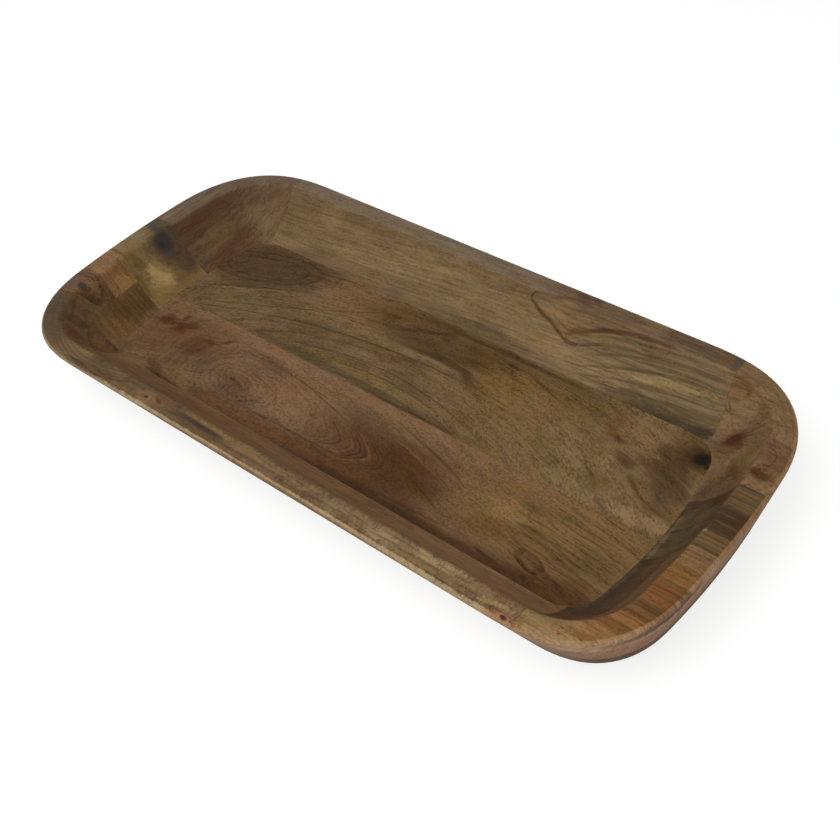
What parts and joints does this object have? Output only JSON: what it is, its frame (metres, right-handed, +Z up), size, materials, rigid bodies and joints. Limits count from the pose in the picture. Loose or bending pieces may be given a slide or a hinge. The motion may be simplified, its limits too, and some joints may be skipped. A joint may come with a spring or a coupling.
{
  "type": "dough tray",
  "caption": "Long shallow wooden tray with rounded corners and bowed ends, hollowed from a glued-up hardwood block, for dough, bread or fruit.",
  "frame": {"origin": "middle of the flat underside", "axes": "+X along the tray towards its right end, +Y across it towards the far side, +Z up"},
  "size_m": [0.611, 0.294, 0.063],
  "materials": {
    "brown_wood": "sanded, thinly oiled",
    "grey_olive_wood": "sanded, thinly oiled",
    "tan_wood": "sanded, thinly oiled",
    "reddish_wood": "sanded, thinly oiled",
    "pale_wood": "sanded, thinly oiled",
    "striped_wood": "sanded, thinly oiled",
    "grey_brown_wood": "sanded, thinly oiled",
    "mottled_wood": "sanded, thinly oiled",
    "orange_wood": "sanded, thinly oiled"
  },
  "bodies": {
    "root": {"floor_board_near": "brown_wood", "floor_board_far": "grey_olive_wood", "lower_rail_near": "brown_wood", "lower_rail_far": "tan_wood", "lower_block_far_left": "reddish_wood", "lower_block_left_pale": "pale_wood", "lower_block_left_striped": "striped_wood", "lower_block_near_left": "brown_wood", "lower_block_far_right": "tan_wood", "lower_block_right_middle": "grey_brown_wood", "lower_block_near_right": "grey_brown_wood", "upper_rail_near": "mottled_wood", "upper_rail_far": "tan_wood", "upper_block_far_left": "reddish_wood", "upper_block_left_pale": "pale_wood", "upper_block_left_orange": "orange_wood", "upper_block_left_figured": "striped_wood", "upper_block_far_right": "tan_wood", "upper_block_right_middle": "grey_brown_wood", "upper_block_near_right": "orange_wood"}
  },
  "joints": []
}
